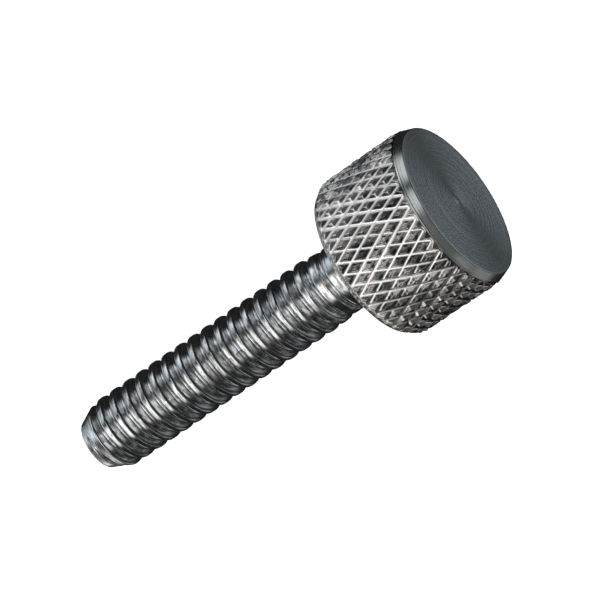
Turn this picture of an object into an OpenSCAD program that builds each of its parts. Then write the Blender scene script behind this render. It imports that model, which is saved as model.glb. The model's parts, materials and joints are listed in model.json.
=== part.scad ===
// Knurled thumb screw, turned from one stainless bar: a diamond knurled head,
// a smooth neck and a right-hand 6-32 thread with a chamfered end.
// It lies on the plane z = 0, on two points of the knurl and one thread crest,
// with the head towards +X.

/* [Thread] */
// Diameter over the thread crests
thread_d = 3.4; // [3.2:0.05:3.7]
// Distance between two crests, 32 to the inch
thread_pitch = 0.79375; // [0.6:0.00625:0.9]
// Length from the underside of the head to the end of the thread
thread_l = 16.2; // [10:0.1:26]
// Height of the chamfer at the end of the thread
end_chamfer_h = 0.75; // [0.5:0.05:1]
// Diameter of the flat end
end_d = 2.5; // [2.2:0.05:2.7]
// Angle between the lowest line of the screw and the start of the thread
thread_start = 172; // [0:1:359]

/* [Neck] */
// Diameter of the smooth neck under the head
neck_d = 3.12; // [2.8:0.02:3.2]
// Length of the smooth neck
neck_l = 1.85; // [1:0.05:3]
// Length over which the thread fades into the neck
runout_l = 1.05; // [0.8:0.05:2]

/* [Head] */
// Diameter over the points of the knurl
head_d = 8.04; // [7:0.02:10]
// Height of the head
head_h = 5.15; // [4:0.05:8]
// Height of the bevel round the face
face_bevel_h = 0.75; // [0.55:0.01:0.9]
// Width of the bevel round the face
face_bevel_w = 0.27; // [0.15:0.01:0.5]
// Height of the bevel round the underside
seat_bevel_h = 0.5; // [0.3:0.01:0.8]
// Width of the bevel round the underside
seat_bevel_w = 0.34; // [0.2:0.01:0.6]

/* [Knurl] */
// Number of grooves of each hand round the head
knurl_count = 42; // [36:1:46]
// Angle between the grooves and the axis
knurl_angle = 26; // [20:0.5:35]
// Width of the flat bottom of a groove
groove_w = 0.06; // [0.03:0.01:0.1]
// Angle between the two sides of a groove
groove_angle = 90; // [75:1:105]
// Width of the blunt point that the grooves leave
point_w = 0.12; // [0.06:0.01:0.2]
// Distance from the face to the plain band where the grooves end
knurl_stop = 0.46; // [0.35:0.01:0.52]
// Distance from the face to the first row where grooves cross
first_row_gap = 0.49; // [0.4:0.01:0.6]

/* [Hidden] */

$fn = 96;
// How far a body that is cut or joined runs past the cut
spare = 0.05;

// Thread: a 60 degree form with a flat crest and a flat root
thread_r = thread_d / 2;
neck_r = neck_d / 2;
thread_segments = 24;
crest_w = thread_pitch / 8;
root_w = thread_pitch / 4;
flank_w = (thread_pitch - crest_w - root_w) / 2;
thread_depth = flank_w / tan(30);
// Height of the crest on the screw's lowest line, where it leaves the flat end
crest_z0 = -thread_l - thread_pitch * thread_start / 360;
// The thread stays this much inside the neck, which covers its last turn
runout_r = neck_r - 0.03;
first_step = -thread_segments;
last_step = ceil((thread_l - neck_l + spare + thread_pitch * thread_start / 360)
    / thread_pitch * thread_segments);
steps = last_step - first_step;

// Knurl: groove crossings and points alternate on a grid of half steps
point_r = head_d / 2;
groove_gap = PI * head_d / knurl_count;
half_turn = 180 / knurl_count;
half_row = groove_gap / tan(knurl_angle) / 2;
rows_below = ceil((head_h - first_row_gap + spare) / half_row);
rows = rows_below + 1 + ceil((first_row_gap + spare) / half_row);
row_z0 = head_h - first_row_gap - rows_below * half_row;
// Half of the groove's bottom, measured round the head and along the axis
floor_turn = groove_w / 2 / cos(knurl_angle) / point_r * 180 / PI;
floor_row = groove_w / 2 / sin(knurl_angle);
// Across a diamond between its grooves, and the share of it that is the blunt point
diamond_w = groove_gap * cos(knurl_angle) - groove_w;
blunt = point_w / diamond_w;
floor_r = point_r - (diamond_w - point_w) / 2 / tan(groove_angle / 2);

// Rest: on two points of the row nearest the underside's bevel, one on each side of
// the lowest line, and on the first full crest on that line
rest_row = round((seat_bevel_h - row_z0) / half_row);
knurl_turn = (rows_below - rest_row) % 2 * half_turn;
rest_r = point_r * cos(half_turn);
rest_crest_z = crest_z0 - crest_w / 2 + thread_pitch
    * ceil((end_chamfer_h + crest_w / 2 - thread_l - crest_z0) / thread_pitch);
tilt = atan((rest_r - thread_r) / (seat_bevel_h - rest_crest_z));
rest_height = thread_r * cos(tilt) - rest_crest_z * sin(tilt);
face_r = point_r - face_bevel_w;
reach_head = head_h * cos(tilt) + face_r * sin(tilt);
reach_end = thread_l * cos(tilt) + end_d / 2 * sin(tilt);

function on_axis(r, angle, z) = [r * cos(angle), r * sin(angle), z];

// ---- thread ----

// 1 where the thread has its full depth, falling to 0 at the neck
function fullness(z) = min(1, max(0, (-neck_l - z) / runout_l));

function profile_z(corner) =
    [-crest_w / 2, crest_w / 2, crest_w / 2 + flank_w, crest_w / 2 + flank_w + root_w][corner];

function profile_r(corner, z) =
    runout_r + ((corner < 2 ? thread_r : thread_r - thread_depth) - runout_r) * fullness(z);

function thread_point(step, corner) =
    let (angle = 360 * (step + first_step) / thread_segments,
         z = crest_z0 + thread_pitch * angle / 360 + profile_z(corner))
    on_axis(profile_r(corner, z), angle, z);

// A fifth corner is the first corner of the next turn
function thread_id(step, corner) =
    corner == 4 ? thread_id(step + thread_segments, 0)
    : step <= steps ? 4 * step + corner
    : 4 * (steps + 1) + step - steps - 1;

module helical_rod() {
    first_z = crest_z0 + thread_pitch * (first_step / thread_segments + 0.5);
    last_z = crest_z0 + thread_pitch * (last_step / thread_segments + 0.5);
    points = concat(
        [for (step = [0:steps], corner = [0:3]) thread_point(step, corner)],
        [for (step = [steps + 1:steps + thread_segments]) thread_point(step, 0)],
        [[0, 0, first_z], [0, 0, last_z]]);
    start = len(points) - 2;
    end = len(points) - 1;
    faces = concat(
        [for (step = [0:steps - 1], corner = [0:3])
            [thread_id(step, corner), thread_id(step, corner + 1),
             thread_id(step + 1, corner + 1), thread_id(step + 1, corner)]],
        [for (step = [0:thread_segments - 1])
            [thread_id(step, 0), thread_id(step + 1, 0), start]],
        [for (corner = [0:3]) [thread_id(0, corner + 1), thread_id(0, corner), start]],
        [for (step = [steps:steps + thread_segments - 1])
            [thread_id(step + 1, 0), thread_id(step, 0), end]],
        [for (corner = [0:3]) [thread_id(steps, corner), thread_id(steps, corner + 1), end]]);
    polyhedron(points, faces, convexity = 10);
}

// The outline that the flat end and its chamfer leave
module end_outline() {
    outer_r = thread_r + spare;
    chamfer_slope = end_chamfer_h / (thread_r - end_d / 2);
    rotate_extrude()
        polygon([
            [0, -thread_l],
            [end_d / 2, -thread_l],
            [outer_r, -thread_l + end_chamfer_h + spare * chamfer_slope],
            [outer_r, 0],
            [0, 0]]);
}

module thread() {
    intersection() {
        helical_rod();
        end_outline();
    }
}

module neck() {
    translate([0, 0, -neck_l])
        cylinder(h = neck_l + head_h / 2, r = neck_r);
}

// ---- knurled head ----

// 1 in a row whose points stand half a step to the side of the first row's crossings
function shifted(row) = (row + rows_below) % 2 == 0 ? 1 : 0;

// Corners 0 to 3 are a diamond's base, left, bottom, right and top; 4 to 7 its blunt point
function diamond_point(row, column, corner) =
    let (side = [-1, 0, 1, 0][corner % 4],
         rise = [0, -1, 0, 1][corner % 4],
         size = corner < 4 ? 1 : blunt,
         angle = knurl_turn + (2 * column + shifted(row)) * half_turn
             + side * size * (half_turn - floor_turn),
         z = row_z0 + row * half_row + rise * size * (half_row - floor_row))
    on_axis(corner < 4 ? floor_r : point_r, angle, z);

function diamond_id(row, column, corner) =
    (row * knurl_count + (column + knurl_count) % knurl_count) * 8 + corner;

function upper_left(row, column, corner) =
    diamond_id(row + 1, column + shifted(row) - 1, corner);

function upper_right(row, column, corner) =
    diamond_id(row + 1, column + shifted(row), corner);

// The four sides and the blunt point of one diamond
function diamond_faces(row, column) =
    let (corner = [for (i = [0:7]) diamond_id(row, column, i)])
    concat(
        [for (i = [0:3])
            let (next = (i + 1) % 4)
            [corner[i], corner[4 + i], corner[4 + next], corner[next]]],
        [[corner[4], corner[7], corner[6], corner[5]]]);

// The two stretches of groove bottom above a diamond, and the crossing at its top
function groove_faces(row, column) =
    let (left = diamond_id(row, column, 0),
         right = diamond_id(row, column, 2),
         top = diamond_id(row, column, 3),
         crossing_left = upper_left(row, column, 2),
         crossing_right = upper_right(row, column, 0))
    [
        [top, crossing_right, upper_right(row, column, 1), right],
        [left, upper_left(row, column, 1), crossing_left, top],
        row < rows - 2
            ? [top, crossing_left, diamond_id(row + 2, column, 1), crossing_right]
            : [top, crossing_left, crossing_right]
    ];

module knurled_bar() {
    points = concat(
        [for (row = [0:rows - 1], column = [0:knurl_count - 1], corner = [0:7])
            diamond_point(row, column, corner)],
        [[0, 0, row_z0 - half_row], [0, 0, row_z0 + rows * half_row]]);
    below = len(points) - 2;
    above = len(points) - 1;
    top_row = rows - 1;
    faces = concat(
        [for (row = [0:top_row], column = [0:knurl_count - 1])
            each diamond_faces(row, column)],
        [for (row = [0:top_row - 1], column = [0:knurl_count - 1])
            each groove_faces(row, column)],
        // the two ends, which the head's outline cuts away
        [for (column = [0:knurl_count - 1])
            let (left = diamond_id(0, column, 0),
                 bottom = diamond_id(0, column, 1),
                 right = diamond_id(0, column, 2),
                 next_left = diamond_id(0, column + 1, 0))
            each [
                [left, bottom, below],
                [bottom, right, below],
                [right, next_left, below],
                [right, upper_right(0, column, 1), next_left]
            ]],
        [for (column = [0:knurl_count - 1])
            let (left = diamond_id(top_row, column, 0),
                 right = diamond_id(top_row, column, 2),
                 top = diamond_id(top_row, column, 3),
                 next_left = diamond_id(top_row, column + 1, 0))
            each [
                [right, top, above],
                [top, left, above],
                [next_left, right, above]
            ]]);
    polyhedron(points, faces, convexity = 10);
}

// The turned outline of the head: flat face, flat seat and the two bevels
module head_outline() {
    face_slope = face_bevel_h / face_bevel_w;
    seat_slope = seat_bevel_h / seat_bevel_w;
    outer_r = point_r + spare;
    rotate_extrude()
        polygon([
            [0, 0],
            [point_r - seat_bevel_w, 0],
            [outer_r, seat_bevel_h + spare * seat_slope],
            [outer_r, head_h - face_bevel_h - spare * face_slope],
            [face_r, head_h],
            [0, head_h]]);
}

module head() {
    intersection() {
        union() {
            knurled_bar();
            // the plain band that the grooves run into
            translate([0, 0, head_h - knurl_stop])
                cylinder(h = knurl_stop + spare, r = point_r + spare);
        }
        head_outline();
    }
}

module thumb_screw() {
    color([0.6, 0.61, 0.62])
        translate([(reach_end - reach_head) / 2, 0, rest_height])
        rotate([0, 90 - tilt, 0])
        union() {
            head();
            neck();
            thread();
        }
}

thumb_screw();
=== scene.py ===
import json
import math
import bpy
import numpy as np
from mathutils import Matrix, Vector


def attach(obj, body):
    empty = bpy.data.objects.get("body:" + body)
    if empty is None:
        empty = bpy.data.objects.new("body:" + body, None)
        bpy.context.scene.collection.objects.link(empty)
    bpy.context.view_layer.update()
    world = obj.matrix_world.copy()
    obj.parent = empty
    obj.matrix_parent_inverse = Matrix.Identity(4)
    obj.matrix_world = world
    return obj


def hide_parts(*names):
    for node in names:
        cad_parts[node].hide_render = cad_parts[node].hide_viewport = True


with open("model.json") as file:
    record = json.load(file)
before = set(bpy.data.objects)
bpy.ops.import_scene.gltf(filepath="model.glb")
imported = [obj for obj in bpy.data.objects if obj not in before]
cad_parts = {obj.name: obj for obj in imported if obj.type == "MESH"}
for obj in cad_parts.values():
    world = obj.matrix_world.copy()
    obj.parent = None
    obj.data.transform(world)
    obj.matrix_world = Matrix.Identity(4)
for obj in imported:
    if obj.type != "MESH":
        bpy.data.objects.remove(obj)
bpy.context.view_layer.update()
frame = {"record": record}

MM = 0.001


# ---- The thumb screw ----
# One piece of stainless bar. Two wheels roll a diamond knurl round its head, and the
# lathe bevels and faces the head, turns the neck and cuts the thread.

# The knurled head, in millimetres. Heights are along the axis from the seat under it
HEAD_H = 5.15
POINT_R = 4.02
KNURL_COUNT = 42
KNURL_ANGLE = math.radians(26)
GROOVE_W = 0.08
GROOVE_HALF_ANGLE = math.radians(38)
GROOVE_BOTTOM_R = 0.1
GROOVE_WANDER = 0.012
POINT_W = 0.14
CRATER_DEPTH = 0.06
CRATER_LEAST = 0.6
CRATER_EDGE = 0.3
FIRST_ROW_GAP = 0.49
KNURL_START = 0.27
KNURL_STOP = 0.46
STOP_RAMP = 0.07
EDGE_SHARE = 0.4
FACE_BEVEL_H = 0.75
FACE_BEVEL_W = 0.27
SEAT_BEVEL_H = 0.5
SEAT_BEVEL_W = 0.34
EDGE_BREAK = 0.04
EDGE_STEPS = 4

# Nine mesh columns and rows to half a diamond, counted from a groove to a point
FINE = 9
COLUMNS = 2 * KNURL_COUNT * FINE
# The flats, the neck and the thread make do with fewer
MIDWAY = COLUMNS // 3
STATIONS = COLUMNS // 9

GROOVE_GAP = 2 * math.pi * POINT_R / KNURL_COUNT
HALF_ROW = GROOVE_GAP / math.tan(KNURL_ANGLE) / 2
FINE_ROW = HALF_ROW / FINE
DIAMOND_W = GROOVE_GAP * math.cos(KNURL_ANGLE) - GROOVE_W
KNURL_DEPTH = (DIAMOND_W - POINT_W) / 2 / math.tan(GROOVE_HALF_ANGLE)
FLOOR_R = POINT_R - KNURL_DEPTH
# Painted highlight: near-white colour and a roughness of their own on the groove bottoms
PAINTED_HIGHLIGHT_FULL_R = FLOOR_R + 0.015
PAINTED_HIGHLIGHT_GONE_R = FLOOR_R + 0.06
FACE_R = POINT_R - FACE_BEVEL_W
SEAT_R = POINT_R - SEAT_BEVEL_W
STEP_W = GROOVE_GAP * math.cos(KNURL_ANGLE) / 2 / FINE
POINT_STEPS = FINE - POINT_W / 2 / STEP_W

rng = np.random.default_rng(7)
vertices = []
faces = []
finishes = []
TURNED, KNURLED, THREADED, ROLLED_EDGE, CRATER = range(5)


def ring(radii, heights, count=COLUMNS):
    """Adds one closed ring of vertices round the axis and returns their numbers."""
    angles = np.arange(count) * 2 * math.pi / count
    first = len(vertices)
    points = np.column_stack([
        radii * np.cos(angles),
        radii * np.sin(angles),
        np.broadcast_to(heights, (count,)),
    ])
    vertices.extend((points * MM).tolist())
    return list(range(first, first + count))


def skin(lower, upper, finish, rising=None, crater_cells=None):
    """Joins two rings. rising says which diagonal splits a cell, torn which is a crater."""
    count = len(lower)
    for i in range(count):
        a, b = lower[i], lower[(i + 1) % count]
        d, c = upper[i], upper[(i + 1) % count]
        if rising is None:
            cell = [(a, b, c, d)]
        elif rising[i]:
            cell = [(a, b, c), (a, c, d)]
        else:
            cell = [(a, b, d), (b, c, d)]
        faces.extend(cell)
        finishes.extend([CRATER if crater_cells is not None and crater_cells[i] else finish] * len(cell))


def thin_out(outer, inner, finish, upward):
    """Joins a ring to one with fewer vertices that lies inside it on the same flat."""
    share = len(outer) // len(inner)
    for i in range(len(inner)):
        rim = [outer[(i * share + k) % len(outer)] for k in range(share + 1)]
        face = rim + [inner[(i + 1) % len(inner)], inner[i]]
        faces.append(tuple(face) if upward else tuple(reversed(face)))
        finishes.append(finish)


def close_flat(outer, height, finish, upward):
    """Closes a ring with a fan round one vertex on the axis."""
    hub = len(vertices)
    vertices.append((0, 0, height * MM))
    for i in range(len(outer)):
        face = (outer[i], outer[(i + 1) % len(outer)], hub)
        faces.append(face if upward else face[::-1])
        finishes.append(finish)


def bevelled_r(height):
    """The radius that the lathe's two bevels leave at a height."""
    from_seat = POINT_R - SEAT_BEVEL_W * (1 - height / SEAT_BEVEL_H)
    from_face = POINT_R - FACE_BEVEL_W * (1 - (HEAD_H - height) / FACE_BEVEL_H)
    return min(from_seat, from_face, POINT_R)


column = np.arange(COLUMNS)
first_row_z = HEAD_H - FIRST_ROW_GAP
# The lowest row of points straddles the line that the screw lies on
rest_row = round((first_row_z - SEAT_BEVEL_H) / HALF_ROW)
turn_columns = rest_row % 2 * FINE
point_count = 2 * KNURL_COUNT
crater = CRATER_LEAST + (1 - CRATER_LEAST) * rng.random((point_count, point_count))
groove_lift = GROOVE_WANDER * rng.standard_normal((2, KNURL_COUNT))


def steps_from(grooves):
    """Columns to the nearest groove centre, and which groove that is."""
    number = np.round(grooves / (2 * FINE))
    return np.abs(grooves - number * 2 * FINE), number.astype(int) % KNURL_COUNT


def groove_side(steps):
    """Height above the groove's middle: a round bottom, then straight up to the point."""
    bend = GROOVE_BOTTOM_R * math.cos(GROOVE_HALF_ANGLE)
    distance = np.minimum(steps, POINT_STEPS) * STEP_W
    on_bottom = np.minimum(distance, bend)
    bottom = GROOVE_BOTTOM_R - np.sqrt(GROOVE_BOTTOM_R ** 2 - on_bottom ** 2)
    return bottom + (distance - on_bottom) / math.tan(GROOVE_HALF_ANGLE)


def knurled_r(height):
    """The radii round the head at one height, with the grooves, points and bevels."""
    row = (height - first_row_z) / FINE_ROW
    # both hands of groove cross on the first row, which is turned by half a point
    at = column - turn_columns - FINE
    right_hand, right_number = steps_from(at - row)
    left_hand, left_number = steps_from(at + row)
    lift = np.minimum(
        groove_side(right_hand) + groove_lift[0, right_number],
        groove_side(left_hand) + groove_lift[1, left_number])
    inner = np.minimum(right_hand, left_hand)
    hollow = np.clip((inner - POINT_STEPS) / (FINE - POINT_STEPS), 0, 1)
    depth = CRATER_DEPTH * crater[right_number * 2 % point_count, left_number * 2 % point_count]
    radii = np.minimum(POINT_R - groove_side(FINE) + lift - hollow * depth, POINT_R)
    # the grooves run out below the face's bevel
    ramp = (height - (HEAD_H - KNURL_STOP - STOP_RAMP)) / STOP_RAMP
    if ramp > 0:
        radii = np.maximum(radii, FLOOR_R + (POINT_R - FLOOR_R) * ramp)
    # the wheels press a fainter pattern into the seat's bevel
    bevel = bevelled_r(height)
    return np.minimum(radii, bevel - EDGE_SHARE * (POINT_R - radii) * (height < KNURL_START))


def in_crater(height):
    """Whether the cell right of each column lies in the hollow on top of a point."""
    row = (height - first_row_z) / FINE_ROW
    at = column + 0.5 - turn_columns - FINE
    inner = np.minimum(steps_from(at - row)[0], steps_from(at + row)[0])
    return inner > POINT_STEPS + CRATER_EDGE


def row_diagonals(height):
    """Cells lean with the groove that crosses their square of the knurl."""
    square_row = math.floor((height - first_row_z) / HALF_ROW)
    square_column = (column - turn_columns - FINE) // FINE
    return (square_row + square_column) % 2 == 0


def broken_edge(below, corner, above):
    """Points of a small rounded edge, from one side of a corner to the other."""
    for step in range(1, EDGE_STEPS + 1):
        t = step / EDGE_STEPS
        yield [
            (1 - t) ** 2 * p + 2 * t * (1 - t) * q + t ** 2 * s
            for p, q, s in zip(below, corner, above)
        ]


EDGE_ROOM = 1.5 * EDGE_BREAK
lowest_row = math.ceil((EDGE_ROOM - first_row_z) / FINE_ROW)
highest_row = math.floor((FIRST_ROW_GAP - EDGE_ROOM) / FINE_ROW)
side_heights = [first_row_z + row * FINE_ROW for row in range(lowest_row, highest_row + 1)]
seat_slope = SEAT_BEVEL_W / SEAT_BEVEL_H
face_slope = FACE_BEVEL_W / FACE_BEVEL_H

# From the seat's rim up the knurled side to the face's rim
seat_rim = ring(np.full(COLUMNS, SEAT_R - EDGE_BREAK), 0)
last = seat_rim
seat_edge = broken_edge(
    (SEAT_R - EDGE_BREAK, 0), (SEAT_R, 0), (SEAT_R + EDGE_BREAK * seat_slope, EDGE_BREAK))
for radius, height in seat_edge:
    following = ring(np.full(COLUMNS, radius), height)
    skin(last, following, TURNED)
    last = following
last_height = EDGE_BREAK
for height in side_heights:
    following = ring(knurled_r(height), height)
    middle = (height + last_height) / 2
    crater_cells = None
    finish = TURNED
    if height < KNURL_START:
        finish = ROLLED_EDGE
    elif height < HEAD_H - KNURL_STOP + FINE_ROW:
        finish = KNURLED
        crater_cells = in_crater(middle)
    skin(last, following, finish, row_diagonals(middle), crater_cells)
    last, last_height = following, height
following = ring(np.full(COLUMNS, FACE_R + EDGE_BREAK * face_slope), HEAD_H - EDGE_BREAK)
skin(last, following, TURNED)
last = following
face_edge = broken_edge(
    (FACE_R + EDGE_BREAK * face_slope, HEAD_H - EDGE_BREAK), (FACE_R, HEAD_H),
    (FACE_R - EDGE_BREAK, HEAD_H))
for radius, height in face_edge:
    following = ring(np.full(COLUMNS, radius), height)
    skin(last, following, TURNED)
    last = following

# The faced end, with the small dimple that the tool leaves at its centre
FACE_RINGS = [(3.6, MIDWAY, 0), (3.4, STATIONS, 0), (2.4, STATIONS, 0), (1.4, STATIONS, 0),
              (0.7, STATIONS, 0), (0.4, STATIONS, -0.004), (0.22, STATIONS, -0.012),
              (0.12, STATIONS, -0.004), (0.06, STATIONS, 0)]
for radius, count, rise in FACE_RINGS:
    following = ring(np.full(count, radius), HEAD_H + rise, count)
    if count == len(last):
        skin(last, following, TURNED)
    else:
        thin_out(last, following, TURNED, True)
    last = following
close_flat(last, HEAD_H, TURNED, True)

# The right-hand 6-32 thread, which fades out into the plain neck under the head. Its
# far end is chamfered to the root
THREAD_R = 1.7
PITCH = 0.79375
THREAD_L = 16.2
THREAD_START = 172
CREST_W = 0.28
ROOT_W = PITCH / 6
FLANK_ANGLE = math.radians(30)
ROUNDING = 0.05
END_CHAMFER_H = 1.0
END_R = 1.25
END_BREAK = 0.05
NECK_R = 1.59
NECK_L = 1.9
SMOOTH_L = 0.9
FULL_THREAD_FROM = 2.8
FAINTEST = 0.05
# Left between the thread's last vertices and the rings that close it
END_GAP = 0.05
NECK_GAP = 0.1

FLANK_W = (PITCH - CREST_W - ROOT_W) / 2
THREAD_DEPTH = FLANK_W / math.tan(FLANK_ANGLE)
first_crest_z = -THREAD_L - PITCH * THREAD_START / 360

# Where the form is sampled: 0 and 6 are the middles of two crests and 3 that of the root
# between them, 1 and 5 are the crests' edges, and 2 and 4 the root's
TO_ROOT = [0, 0.5, 0.8, 1, 1.2, 1.4, 1.6, 1.8, 2, 2.4]
SAMPLES = TO_ROOT + [3] + [6 - place for place in reversed(TO_ROOT[1:])]
BLUNTING_STEPS = (-1, -0.5, 0, 0.5, 1)


def form_of(place, full):
    """Distance along the axis from a crest's middle, at a place in the form."""
    if place > 3:
        return PITCH - form_of(6 - place, full)
    knots = (0, PITCH / 2 - ROOT_W / 2 - FLANK_W * full, PITCH / 2 - ROOT_W / 2, PITCH / 2)
    return float(np.interp(place, (0, 1, 2, 3), knots))


def cut_depth(distance, full):
    """How deep the groove is, at a distance along the axis from its middle."""
    return THREAD_DEPTH * full * min(1, max(0, 1 - (distance - ROOT_W / 2) / (FLANK_W * full)))


def thread_point(crest_height, place):
    """Height and radius at a place in the thread's form, above the crest at a height."""
    groove_height = crest_height + PITCH / 2
    full = min(1, max(FAINTEST, (-SMOOTH_L - groove_height) / (FULL_THREAD_FROM - SMOOTH_L)))
    offset = form_of(place, full)
    height = crest_height + offset
    blunting = ROUNDING * min(1, 3 * full)
    distance = abs(offset - PITCH / 2)
    depth = sum(
        cut_depth(abs(distance + blunting * step), full) for step in BLUNTING_STEPS
    ) / len(BLUNTING_STEPS)
    risen = min(1, max(0, (-NECK_L - height) / (FULL_THREAD_FROM - NECK_L)))
    crest_r = NECK_R + (THREAD_R - NECK_R) * risen
    end_cone = END_R + (THREAD_R - END_R) * (height + THREAD_L) / END_CHAMFER_H
    return height, min(crest_r - depth, end_cone)


turns = range(-1, math.ceil(THREAD_L / PITCH) + 2)
end_ring = ring(np.full(STATIONS, END_R), -THREAD_L, STATIONS)
neck_start = -SMOOTH_L + NECK_GAP
neck_ring = ring(np.full(STATIONS, NECK_R), neck_start + NECK_GAP, STATIONS)
strips = []
for station in range(STATIONS):
    angle = 2 * math.pi * station / STATIONS
    strip = {}
    for turn in turns:
        for number, place in enumerate(SAMPLES):
            height, radius = thread_point(
                first_crest_z + PITCH * (station / STATIONS + turn), place)
            if -THREAD_L + END_GAP < height < neck_start:
                strip[turn * len(SAMPLES) + number] = len(vertices)
                vertices.append((
                    radius * math.cos(angle) * MM, radius * math.sin(angle) * MM, height * MM))
    strips.append(strip)
for station in range(STATIONS):
    here = strips[station]
    there = strips[(station + 1) % STATIONS]
    # a full turn on, the same place in the form is one turn's samples further down
    if station == STATIONS - 1:
        there = {number - len(SAMPLES): vertex for number, vertex in there.items()}
    beside = (station + 1) % STATIONS
    shared = sorted(set(here) & set(there))
    for number in shared[:-1]:
        faces.append((here[number], there[number], there[number + 1], here[number + 1]))
        finishes.append(THREADED)
    # one face closes each strip at the end, and one at the neck
    low = [there[n] for n in sorted(there) if n <= shared[0]]
    low_here = [here[n] for n in sorted(here) if n <= shared[0]]
    faces.append((end_ring[station], end_ring[beside], *low, *reversed(low_here)))
    high = [there[n] for n in sorted(there) if n >= shared[-1]]
    high_here = [here[n] for n in sorted(here) if n >= shared[-1]]
    faces.append((
        *high_here[:1], *high, neck_ring[beside], neck_ring[station], *reversed(high_here[1:])))
    finishes.extend([THREADED, THREADED])
end_flat = ring(np.full(STATIONS, END_R - END_BREAK), -THREAD_L, STATIONS)
skin(end_flat, end_ring, TURNED)
close_flat(end_flat, -THREAD_L, TURNED, False)

# The neck, with the faint rings that the tool cuts and a small round corner at the seat
NECK_RINGS = 3
RING_STEPS = 4
RING_DEPTH = 0.015
CORNER_R = 0.12
neck_top = neck_start + NECK_GAP
neck_steps = RING_STEPS * NECK_RINGS
last = neck_ring
for step in range(1, neck_steps + 1):
    height = neck_top + (-CORNER_R - neck_top) * step / (neck_steps + 1)
    radius = NECK_R - (RING_DEPTH if step % RING_STEPS == RING_STEPS // 2 else 0)
    following = ring(np.full(STATIONS, radius), height, STATIONS)
    skin(last, following, THREADED)
    last = following
for step in range(EDGE_STEPS + 1):
    bend = math.pi / 2 * step / EDGE_STEPS
    radius = NECK_R + CORNER_R * (1 - math.cos(bend))
    following = ring(np.full(STATIONS, radius), -CORNER_R * (1 - math.sin(bend)), STATIONS)
    skin(last, following, THREADED)
    last = following

# The flat seat, out to the head's rim
SEAT_RINGS = (NECK_R + 2 * CORNER_R, 2.1, 2.6, 3.1)
SEAT_OUTER_RING = 3.4
for radius in SEAT_RINGS:
    following = ring(np.full(STATIONS, radius), 0, STATIONS)
    skin(last, following, TURNED)
    last = following
seat_outer = ring(np.full(MIDWAY, SEAT_OUTER_RING), 0, MIDWAY)
thin_out(seat_rim, seat_outer, TURNED, False)
thin_out(seat_outer, last, TURNED, False)

mesh = bpy.data.meshes.new("thumb_screw_turned")
mesh.from_pydata(vertices, [], faces)
mesh.polygons.foreach_set("material_index", np.array(finishes, np.int32))
mesh.polygons.foreach_set("use_smooth", np.ones(len(faces), bool))
mesh.validate()
screw = bpy.data.objects.new("thumb_screw_turned", mesh)
bpy.context.scene.collection.objects.link(screw)

# The screw's own frame: Z along its axis from the seat to the face, X down to the floor
mounts = {mount["name"]: mount for mount in frame["record"]["mounts"]}
axis = Vector(mounts["face"]["axis"]).normalized()
seat_centre = Vector(mounts["face"]["pos_m"]) - axis * HEAD_H * MM
side = Vector((0, 1, 0))
down = side.cross(axis)
turned = Matrix((down, side, axis)).transposed().to_4x4()
mesh.transform(Matrix.Translation(seat_centre) @ turned)
mesh.update()
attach(screw, "root")
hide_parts("thumb_screw")


class Wire:
    """A value in a node tree that Python's operators can work on."""

    def __init__(self, tree, socket=None):
        self.tree = tree
        self.socket = socket

    def node(self, kind, settings=(), inputs=(), output=0):
        """Any node: its settings first, then the values or links of its sockets."""
        made = self.tree.nodes.new(kind)
        for name, value in dict(settings).items():
            setattr(made, name, value)
        for name, value in dict(inputs).items():
            if isinstance(value, Wire):
                self.tree.links.new(value.socket, made.inputs[name])
            else:
                made.inputs[name].default_value = value
        return Wire(self.tree, made.outputs[output] if len(made.outputs) else None)

    def maths(self, operation, *values):
        return self.node("ShaderNodeMath", {"operation": operation}, dict(enumerate(values)))

    def vectors(self, operation, *values, output=0):
        """A Vector Math node. Output 0 is its vector and output 1 its number."""
        settings = {"operation": operation}
        return self.node("ShaderNodeVectorMath", settings, dict(enumerate(values)), output)

    def scaled(self, vector, factor):
        inputs = {0: vector, "Scale": factor}
        return self.node("ShaderNodeVectorMath", {"operation": "SCALE"}, inputs)

    def mix(self, factor, first, second):
        """From the first colour at 0 to the second at 1."""
        inputs = {"Factor": factor, 6: first, 7: second}
        return self.node("ShaderNodeMix", {"data_type": "RGBA"}, inputs, output=2)

    def noise(self, vector, scale, detail, roughness):
        return self.node("ShaderNodeTexNoise", {}, {
            "Vector": vector, "Scale": scale, "Detail": detail, "Roughness": roughness})

    def __add__(self, other):
        return self.maths("ADD", self, other)

    def __radd__(self, other):
        return self.maths("ADD", other, self)

    def __sub__(self, other):
        return self.maths("SUBTRACT", self, other)

    def __rsub__(self, other):
        return self.maths("SUBTRACT", other, self)

    def __mul__(self, other):
        return self.maths("MULTIPLY", self, other)

    def __rmul__(self, other):
        return self.maths("MULTIPLY", other, self)

    def between(self, low, high):
        """0 below low, 1 above high, and a smooth step from one to the other."""
        return self.node(
            "ShaderNodeMapRange", {"interpolation_type": "SMOOTHSTEP"},
            {"Value": self, "From Min": low, "From Max": high})


def new_material(name):
    material = bpy.data.materials.new(name)
    material.use_nodes = True
    material.node_tree.nodes.clear()
    return material, Wire(material.node_tree)


# Stains and pits to a metre, and drag marks to a radian round the axis
STAIN_SCALE = 900.0
PIT_SCALE = 14000.0
DRAG_TURN = 1.6
WEAR_FROM, WEAR_TO = 0.42, 0.62
# How much height counts beside radius, along the outline
OUTLINE_SLANT = 0.731


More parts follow.
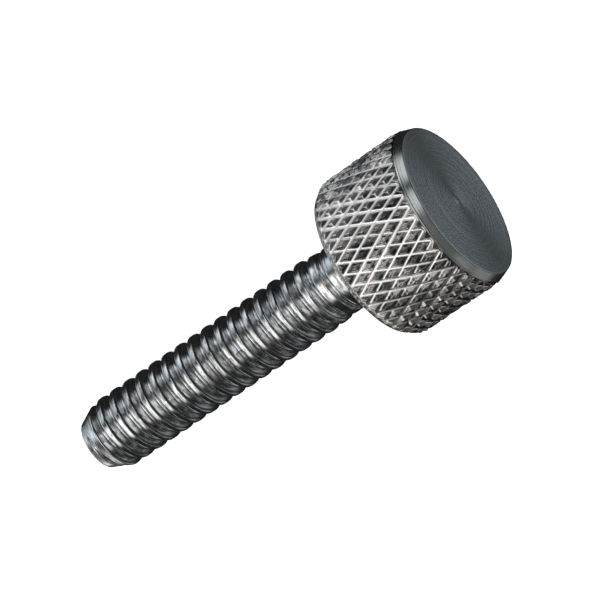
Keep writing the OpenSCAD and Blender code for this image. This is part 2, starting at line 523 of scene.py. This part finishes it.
def steel(name, colour, worn_colour, roughness, worn_roughness, pit_height,
          ring_lean=0.0, ring_scale=1000.0, drag=None, groove_highlight=None):
    """Stainless steel with rings cut round the axis, and fine pits and wear on them.

    drag draws the wear out round the axis, in that many marks to a metre of outline.
    groove_highlight gives the knurl's groove bottoms a near-white colour that paints a
    highlight along them, a roughness, and the radii between which they pass into the rest.
    """
    material, wire = new_material(name)
    place = wire.node("ShaderNodeTexCoord", output=3)
    from_seat = wire.vectors("SUBTRACT", place, seat_centre)
    height = wire.vectors("DOT_PRODUCT", from_seat, axis, output=1)
    outward = wire.vectors("SUBTRACT", from_seat, wire.scaled(axis, height))
    radius = wire.vectors("LENGTH", outward, output=1)
    # one number that changes along the outline and stays the same round the axis
    along = radius + height * OUTLINE_SLANT
    rings = wire.node(
        "ShaderNodeTexNoise", {"noise_dimensions": "1D"},
        {"W": along, "Scale": ring_scale, "Detail": 3.0, "Roughness": 0.7})
    if drag:
        turn = wire.maths(
            "ARCTAN2", wire.vectors("DOT_PRODUCT", outward, side, output=1),
            wire.vectors("DOT_PRODUCT", outward, down, output=1))
        stretched = wire.node(
            "ShaderNodeCombineXYZ", {}, {"X": along * drag, "Y": turn * DRAG_TURN})
        stains = wire.noise(stretched, scale=1.0, detail=4.0, roughness=0.65)
    else:
        stains = wire.noise(place, scale=STAIN_SCALE, detail=4.0, roughness=0.6)
    pits = wire.noise(place, scale=PIT_SCALE, detail=2.0, roughness=0.5)
    # the rings lean the surface up and down its outline
    surface_normal = wire.node("ShaderNodeNewGeometry", output=1)
    round_axis = wire.vectors("CROSS_PRODUCT", axis, outward)
    up_outline = wire.vectors(
        "NORMALIZE", wire.vectors("CROSS_PRODUCT", round_axis, surface_normal))
    leaning = wire.scaled(up_outline, (rings - 0.5) * ring_lean)
    ringed = wire.vectors("NORMALIZE", wire.vectors("ADD", surface_normal, leaning))
    bump = wire.node(
        "ShaderNodeBump", {},
        {"Height": pits * pit_height, "Distance": 1.0, "Strength": 1.0, "Normal": ringed})
    wear = stains.between(WEAR_FROM, WEAR_TO)
    shade = wire.mix(wear, (*colour, 1), (*worn_colour, 1))
    rough = roughness + wear * (worn_roughness - roughness)
    # Painted highlight: the groove bottoms get a near-white colour
    if groove_highlight:
        painted_highlight_colour, bottom_roughness, low, high = groove_highlight
        raised = radius.between(low * MM, high * MM)
        shade = wire.mix(raised, (*painted_highlight_colour, 1), shade)
        rough = bottom_roughness + raised * (rough - bottom_roughness)
    surface = wire.node(
        "ShaderNodeBsdfPrincipled", {},
        {"Base Color": shade, "Roughness": rough, "Metallic": 1.0, "Normal": bump})
    wire.node("ShaderNodeOutputMaterial", {}, {"Surface": surface})
    return material


# In the order of the finishes' numbers
mesh.materials.append(steel(
    "turned_steel", colour=(0.62, 0.66, 0.67), worn_colour=(0.54, 0.58, 0.59),
    roughness=0.19, worn_roughness=0.25, pit_height=1e-7, ring_lean=1.3, ring_scale=40000.0,
    drag=9000.0))
# The knurl's groove bottoms get a painted highlight, a near-white colour
mesh.materials.append(steel(
    "knurled_steel", colour=(0.48, 0.475, 0.47), worn_colour=(0.10, 0.105, 0.11),
    roughness=0.10, worn_roughness=0.20, pit_height=2.5e-6,
    groove_highlight=((0.98, 0.96, 0.95), 0.38, PAINTED_HIGHLIGHT_FULL_R, PAINTED_HIGHLIGHT_GONE_R)))
mesh.materials.append(steel(
    "threaded_steel", colour=(0.69, 0.71, 0.73), worn_colour=(0.25, 0.255, 0.255),
    roughness=0.15, worn_roughness=0.30, pit_height=6e-7, ring_lean=0.25, ring_scale=20000.0,
    drag=7000.0))
mesh.materials.append(steel(
    "rolled_edge_steel", colour=(0.40, 0.40, 0.40), worn_colour=(0.22, 0.23, 0.24),
    roughness=0.30, worn_roughness=0.45, pit_height=2.5e-6))
# A darker colour for the craters on the points
mesh.materials.append(steel(
    "dark_crater_steel", colour=(0.26, 0.26, 0.26), worn_colour=(0.05, 0.05, 0.06),
    roughness=0.20, worn_roughness=0.35, pit_height=2.5e-6))


# ---- Camera ----
# It looks down on the lying screw along a line 25 degrees from square to its axis,
# with the head towards the upper right corner of a square picture.

PICTURE = 600
SENSOR_MM = 36
FOCAL_PX = 4473
DISTANCE = 0.2
ANCHOR_BELOW_SEAT = 5 * MM
ANCHOR_PX = (283.7, 318.7)
AXIS_TOWARDS_CAMERA = math.radians(24.74)
AXIS_IN_PICTURE = math.radians(34.17)
CAMERA_TURN = math.radians(177.1)

# As the camera sees it, with X right, Y down and Z away: the line to the anchor on the
# screw's axis, the axis, and the side of the screw that faces the camera
sight = Vector((
    (ANCHOR_PX[0] - PICTURE / 2) / FOCAL_PX, (ANCHOR_PX[1] - PICTURE / 2) / FOCAL_PX, 1.0))
sight.normalize()
level = (Vector((1, 0, 0)) - sight * sight.x).normalized()
fall = sight.cross(level)
rising = level * math.cos(AXIS_IN_PICTURE) - fall * math.sin(AXIS_IN_PICTURE)
seen_axis = rising * math.cos(AXIS_TOWARDS_CAMERA) - sight * math.sin(AXIS_TOWARDS_CAMERA)
seen_near = -sight * math.cos(AXIS_TOWARDS_CAMERA) - rising * math.sin(AXIS_TOWARDS_CAMERA)
seen = Matrix((seen_near, seen_axis.cross(seen_near), seen_axis))
# The same three directions in the world
near = down * math.cos(CAMERA_TURN) + side * math.sin(CAMERA_TURN)
across = axis.cross(near)
to_world = Matrix((near, across, axis)).transposed() @ seen
anchor = seat_centre - axis * ANCHOR_BELOW_SEAT

camera = bpy.data.objects.new("camera", bpy.data.cameras.new("camera"))
bpy.context.scene.collection.objects.link(camera)
camera.data.sensor_width = SENSOR_MM
camera.data.lens = FOCAL_PX / PICTURE * SENSOR_MM
camera.data.clip_start = 0.01
looking = to_world @ Matrix(((1, 0, 0), (0, -1, 0), (0, 0, -1)))
camera.matrix_world = Matrix.Translation(anchor - to_world @ sight * DISTANCE) @ looking.to_4x4()
bpy.context.scene.camera = camera


# ---- Floor and studio ----
# A plain pale floor under even light from a white room. The steel mirrors neither:
# it mirrors a dark studio with soft panels, warm ones mostly beside the camera and
# cool ones above, below and behind.

HALF_FLOOR = 1.5
FLOOR_COLOUR = (0.9, 0.9, 0.9, 1)
floor_mesh = bpy.data.meshes.new("floor")
floor_mesh.from_pydata(
    [(sx * HALF_FLOOR, sy * HALF_FLOOR, 0) for sx, sy in ((-1, -1), (1, -1), (1, 1), (-1, 1))],
    [], [(0, 1, 2, 3)])
floor = bpy.data.objects.new("floor", floor_mesh)
bpy.context.scene.collection.objects.link(floor)
floor.visible_glossy = False
floor.visible_shadow = False
paint, wire = new_material("floor_paint")
surface = wire.node("ShaderNodeBsdfDiffuse", {}, {"Color": FLOOR_COLOUR})
wire.node("ShaderNodeOutputMaterial", {}, {"Surface": surface})
floor_mesh.materials.append(paint)

ROOM_COLOUR = (1, 1, 1, 1)
WARM_COLOUR = (1.0, 0.975, 0.945, 1)
COOL_COLOUR = (0.86, 0.94, 1.0, 1)
ROOM_LIGHT = 2.4
DARK_LIGHT = 0.01
# Turn and lift in degrees, the angles at which a panel is full and gone, and its
# strength. Where panels of one light overlap, the brightest counts
WARM_LIGHTS = {
    "key": [(-4, -24, 12, 30, 1.65), (-3, -44, 8, 24, 1.65), (20, -28, 6, 26, 1.4025)],
    "low_sheet": [(138, -72, 12, 28, 0.8), (128, -56, 8, 20, 0.9)],
    "bevel_light": [(-80, 5, 12, 26, 0.8), (-30, 12, 8, 22, 0.85)],
    "side_light": [(30, 14, 20, 46, 0.13), (74, 10, 8, 24, 0.28), (112, 4, 12, 28, 0.25)],
}
COOL_LIGHTS = {
    "fill": [(-70, -22, 8, 28, 0.85), (-108, -66, 10, 30, 0.68)],
    "under_light": [(-50, -58, 8, 24, 0.65)],
    "back_sheet": [(172, 60, 10, 42, 0.5)],
}

world = bpy.data.worlds.new("studio")
world.use_nodes = True
world.node_tree.nodes.clear()
world.cycles.sampling_method = "NONE"
bpy.context.scene.world = world
wire = Wire(world.node_tree)
direction = wire.node("ShaderNodeTexCoord")


def towards(turn, lift):
    """A direction from the screw: turn about its axis from the camera, lift to its face."""
    turn, lift = math.radians(turn), math.radians(lift)
    flat = near * math.cos(turn) + across * math.sin(turn)
    return flat * math.cos(lift) + axis * math.sin(lift)


def panel(turn, lift, inner, outer):
    """1 within an angle of a direction, falling softly to 0 at a wider one."""
    facing = wire.vectors("DOT_PRODUCT", direction, towards(turn, lift), output=1)
    return facing.between(math.cos(math.radians(outer)), math.cos(math.radians(inner)))


def background(colour, lights):
    """A Background whose strength is the sum of its lights, over a little darkness."""
    strength = DARK_LIGHT
    for panels in lights.values():
        light = 0.0
        for *shape, power in panels:
            light = wire.maths("MAXIMUM", light, panel(*shape) * power)
        strength = strength + light
    return wire.node("ShaderNodeBackground", {}, {"Color": colour, "Strength": strength})


warm = background(WARM_COLOUR, WARM_LIGHTS)
cool = background(COOL_COLOUR, COOL_LIGHTS)
studio = wire.node("ShaderNodeAddShader", {}, {0: warm, 1: cool})
room = wire.node("ShaderNodeBackground", {}, {"Color": ROOM_COLOUR, "Strength": ROOM_LIGHT})
mirrored = wire.node("ShaderNodeLightPath", output=3)
both = wire.node("ShaderNodeMixShader", {}, {0: mirrored, 1: room, 2: studio})
wire.node("ShaderNodeOutputWorld", {}, {"Surface": both})
bpy.context.scene.view_settings.view_transform = "Standard"
